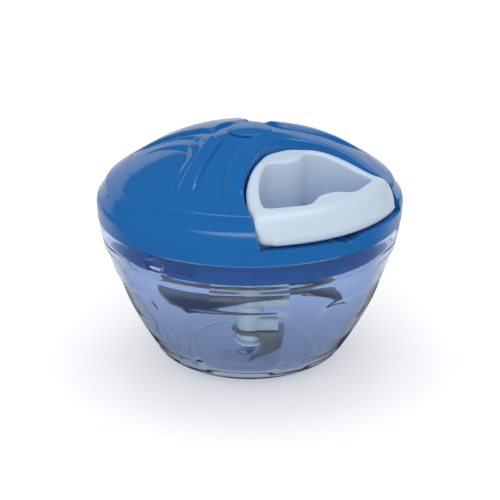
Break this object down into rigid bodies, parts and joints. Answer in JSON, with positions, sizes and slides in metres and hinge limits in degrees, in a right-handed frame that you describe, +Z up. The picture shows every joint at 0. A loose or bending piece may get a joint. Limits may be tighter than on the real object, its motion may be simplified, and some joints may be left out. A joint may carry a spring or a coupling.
{
  "type": "pull cord food chopper",
  "caption": "Hand-pulled food chopper with a clear tapered bowl, a twist-lock domed lid, curved blades on a driven shaft and a pull handle on a recoiling cord.",
  "frame": {"origin": "middle of the bowl's base, on the surface that the chopper stands on", "axes": "+Z up along the blade shaft and the reel's axle; the handle pulls out along -Y"},
  "size_m": [0.1258, 0.1253, 0.0988],
  "materials": {
    "clear_plastic": "clear gloss",
    "blue_plastic": "gloss",
    "base_blue": "satin",
    "white_plastic": "satin",
    "handle_plastic": "satin",
    "mechanism_plastic": "satin",
    "blade_steel": "polished",
    "pin_steel": "bright",
    "spring_steel": "dark",
    "silicone": "matte",
    "cord": "braided"
  },
  "bodies": {
    "bowl": {"bowl": "clear_plastic", "bowl_pin": "pin_steel"},
    "blades": {"blade_shaft": "white_plastic", "shaft_foot": "white_plastic", "holder_lower_low": "white_plastic", "holder_lower_high": "white_plastic", "holder_upper_low": "white_plastic", "holder_upper_high": "white_plastic", "blade_upper": "blade_steel", "blade_lower": "blade_steel"},
    "seal": {"lid_seal": "silicone"},
    "lid": {"lid_base": "base_blue", "top_cover": "blue_plastic", "axle_cap": "blue_plastic", "mechanism_case": "mechanism_plastic", "case_screw_1": "pin_steel", "case_screw_2": "pin_steel", "case_screw_3": "pin_steel", "cover_screw_1": "pin_steel", "cover_screw_2": "pin_steel", "cover_screw_3": "pin_steel", "axle_pin": "pin_steel", "cord_guide": "mechanism_plastic", "cord_feed": "cord", "recoil_spring": "spring_steel"},
    "drive": {"clutch_cup": "mechanism_plastic"},
    "reel": {"cord_reel": "mechanism_plastic", "cord_winding": "cord"},
    "pawl_one": {"pawl_1": "mechanism_plastic"},
    "pawl_two": {"pawl_2": "mechanism_plastic"},
    "handle": {"handle": "handle_plastic", "cord_knot": "cord", "cord_lead": "cord"}
  },
  "joints": [
    {"name": "lid_lift", "type": "slide", "parent": "bowl", "child": "seal", "axis": [0, 0, 1], "range_m": [0, 0.11]},
    {"name": "lid_twist", "type": "hinge", "parent": "seal", "child": "lid", "pos_m": [0, 0, 0.0615], "axis": [0, 0, 1], "range_deg": [-12, 0]},
    {"name": "handle_pull", "type": "slide", "parent": "lid", "child": "handle", "axis": [0, -1, 0], "range_m": [0, 0.36], "stiffness_N_per_m": 13, "springref_m": -0.38, "deforming": ["cord_lead", "cord_winding", "recoil_spring"]},
    {"name": "reel_spin", "type": "hinge", "parent": "lid", "child": "reel", "pos_m": [0, 0, 0.07], "axis": [0, 0, 1], "range_deg": [0, 2140]},
    {"name": "drive_spin", "type": "hinge", "parent": "lid", "child": "drive", "pos_m": [0, 0, 0.05], "axis": [0, 0, 1], "continuous": true},
    {"name": "blade_spin", "type": "hinge", "parent": "bowl", "child": "blades", "pos_m": [0, 0, 0.01], "axis": [0, 0, 1], "continuous": true},
    {"name": "pawl_swing_1", "type": "hinge", "parent": "reel", "child": "pawl_one", "pos_m": [0.012, 0, 0.0516], "axis": [0, 0, 1], "range_deg": [0, 18], "stiffness_Nm_per_rad": 0.002, "springref_deg": -5.73},
    {"name": "pawl_swing_2", "type": "hinge", "parent": "reel", "child": "pawl_two", "pos_m": [-0.012, 0, 0.0516], "axis": [0, 0, 1], "range_deg": [0, 18], "stiffness_Nm_per_rad": 0.002, "springref_deg": -5.73}
  ],
  "couplings": [
    {"joint": "reel_spin", "follows": "handle_pull", "rad_per_m": 103.63},
    {"joint": "drive_spin", "follows": "handle_pull", "rad_per_m": 103.63},
    {"joint": "blade_spin", "follows": "handle_pull", "rad_per_m": 103.63},
    {"joint": "pawl_swing_2", "follows": "pawl_swing_1", "ratio": 1}
  ]
}
